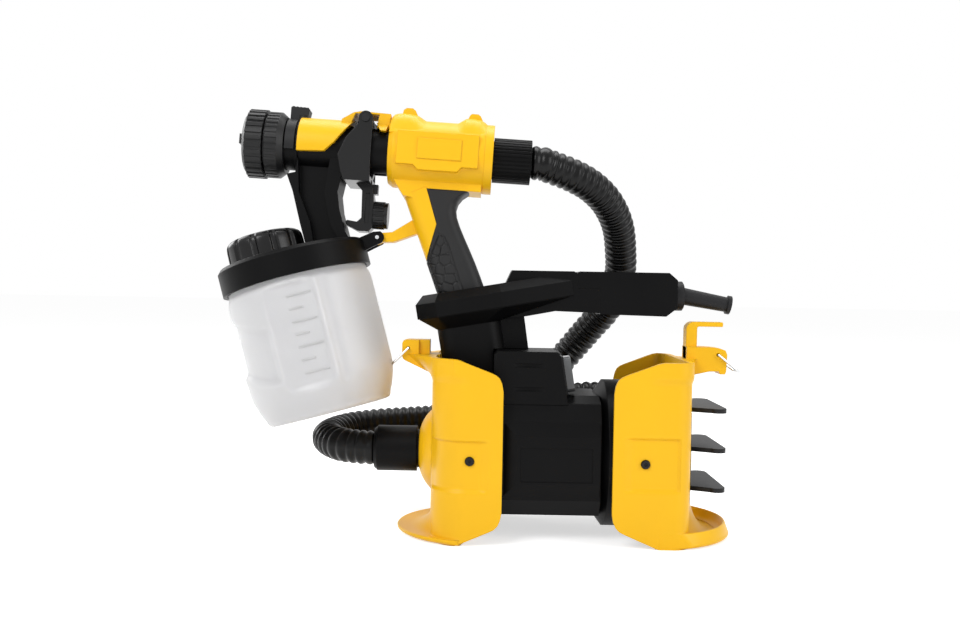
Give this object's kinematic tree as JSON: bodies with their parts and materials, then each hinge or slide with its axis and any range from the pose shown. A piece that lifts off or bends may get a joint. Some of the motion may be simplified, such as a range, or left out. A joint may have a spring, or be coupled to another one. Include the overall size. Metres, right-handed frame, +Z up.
{
  "type": "paint sprayer",
  "caption": "Turbine paint sprayer: gun with a tilted cup standing by its grip in a holster on a motor base with bumpers, joined by a ribbed air hose",
  "frame": {"origin": "middle of the bounding box at floor level, hose left out", "axes": "+X toward the air intake and the cord's sleeve, the nozzle points to -X; +Z up; -Y is the side with the switch"},
  "size_m": [0.4357, 0.2129, 0.3526],
  "materials": {
    "yellow_shell": "satin moulded plastic",
    "black_plastic": "satin moulded plastic",
    "gloss_black": "smooth moulded plastic",
    "dark_plastic": "fine-grained plastic",
    "grip_rubber": "crazed soft rubber",
    "hose_rubber": "ribbed flexible hose",
    "cup_plastic": "translucent polyethylene",
    "clear_boot": "clear flexible plastic",
    "steel": "drawn steel",
    "brass": "turned brass",
    "copper": "lacquered windings",
    "foam": "open-cell foam"
  },
  "bodies": {
    "base": {"housing_front": "black_plastic", "housing_back": "black_plastic", "fan_casing": "steel", "motor_stator": "steel", "motor_end_plate": "dark_plastic", "ball_bearings": "steel", "carbon_brushes": "dark_plastic", "intake_filter": "foam", "left_bumper": "yellow_shell", "right_bumper": "yellow_shell", "bumper_screws": "dark_plastic", "holster": "black_plastic", "handle_front": "black_plastic", "handle_back": "black_plastic", "cord_sleeve": "dark_plastic", "switch_box": "black_plastic", "switch_frame": "dark_plastic", "switch_boot": "clear_boot", "hose_end_base": "black_plastic", "hose": "hose_rubber"},
    "rotor": {"armature": "copper", "motor_shaft": "steel", "fan_impellers": "steel"},
    "rocker": {"rocker": "gloss_black"},
    "intake_cover": {"intake_cover": "dark_plastic"},
    "left_strap_ring": {"left_strap_ring": "steel"},
    "right_strap_ring": {"right_strap_ring": "steel"},
    "gun": {"gun_body": "black_plastic", "top_shell": "yellow_shell", "grip_shell_left": "yellow_shell", "grip_shell_right": "yellow_shell", "grip_sleeve": "grip_rubber", "gun_screws": "steel", "trigger_pin": "dark_plastic", "needle_spring": "steel", "needle_seal": "grip_rubber", "nozzle": "brass", "container_lid": "black_plastic", "lid_gasket": "grip_rubber", "suction_tube": "cup_plastic", "brace_pin": "steel", "hose_end_gun": "black_plastic"},
    "trigger": {"trigger": "gloss_black"},
    "flow_knob": {"flow_knob": "gloss_black"},
    "needle": {"needle": "steel"},
    "air_cap": {"air_cap": "black_plastic"},
    "union_nut": {"union_nut": "black_plastic"},
    "pattern_lever": {"pattern_lever": "dark_plastic"},
    "filler_cap": {"filler_cap": "gloss_black"},
    "container": {"container": "cup_plastic"}
  },
  "joints": [
    {"name": "motor_spin", "type": "hinge", "parent": "base", "child": "rotor", "pos_m": [0.0705, 0, 0.067], "axis": [1, 0, 0], "continuous": true},
    {"name": "rocker_tip", "type": "hinge", "parent": "base", "child": "rocker", "pos_m": [0.06821, -0.02, 0.13292], "axis": [0, -1, 0], "range_deg": [0, 14]},
    {"name": "cover_pull", "type": "slide", "parent": "base", "child": "intake_cover", "axis": [1, 0, 0], "range_m": [0, 0.04]},
    {"name": "left_ring_swing", "type": "hinge", "parent": "base", "child": "left_strap_ring", "pos_m": [-0.0584, 0, 0.152], "axis": [0, 1, 0], "range_deg": [-45, 8]},
    {"name": "right_ring_swing", "type": "hinge", "parent": "base", "child": "right_strap_ring", "pos_m": [0.1994, 0, 0.1507], "axis": [0, 1, 0], "range_deg": [-60, 45]},
    {"name": "gun_lift", "type": "slide", "parent": "base", "child": "gun", "axis": [-0.342, 0.0655, 0.9374], "range_m": [0, 0.08], "deforming": ["hose"]},
    {"name": "trigger_pull", "type": "hinge", "parent": "gun", "child": "trigger", "pos_m": [-0.0958, 0.00871, 0.33955], "axis": [0, -0.9976, 0.0698], "range_deg": [0, 7.4], "stiffness_Nm_per_rad": 1.2, "springref_deg": -6.88},
    {"name": "flow_knob_turn", "type": "hinge", "parent": "trigger", "child": "flow_knob", "pos_m": [-0.09014, 0.00332, 0.26243], "axis": [0.9986, -0.0037, -0.0522], "continuous": true},
    {"name": "needle_draw", "type": "slide", "parent": "gun", "child": "needle", "axis": [0.9986, -0.0037, -0.0522], "range_m": [0, 0.0041], "deforming": ["needle_spring"]},
    {"name": "air_cap_turn", "type": "hinge", "parent": "gun", "child": "air_cap", "pos_m": [-0.18851, 0.0074, 0.32082], "axis": [0.9986, -0.0037, -0.0522], "range_deg": [-90, 90]},
    {"name": "union_nut_turn", "type": "hinge", "parent": "gun", "child": "union_nut", "pos_m": [-0.17254, 0.00734, 0.31998], "axis": [0.9986, -0.0037, -0.0522], "continuous": true},
    {"name": "pattern_turn", "type": "hinge", "parent": "gun", "child": "pattern_lever", "pos_m": [-0.15855, 0.00729, 0.31925], "axis": [0.9986, -0.0037, -0.0522], "range_deg": [-30, 30]},
    {"name": "filler_turn", "type": "hinge", "parent": "gun", "child": "filler_cap", "pos_m": [-0.17661, 0.00047, 0.2217], "axis": [-0.2672, 0.0672, 0.9613], "range_deg": [0, 180]},
    {"name": "container_turn", "type": "hinge", "parent": "gun", "child": "container", "pos_m": [-0.14734, -0.00193, 0.18736], "axis": [-0.2672, 0.0672, 0.9613], "range_deg": [0, 120]}
  ],
  "couplings": [
    {"joint": "needle_draw", "follows": "trigger_pull", "m_per_rad": 0.03}
  ]
}
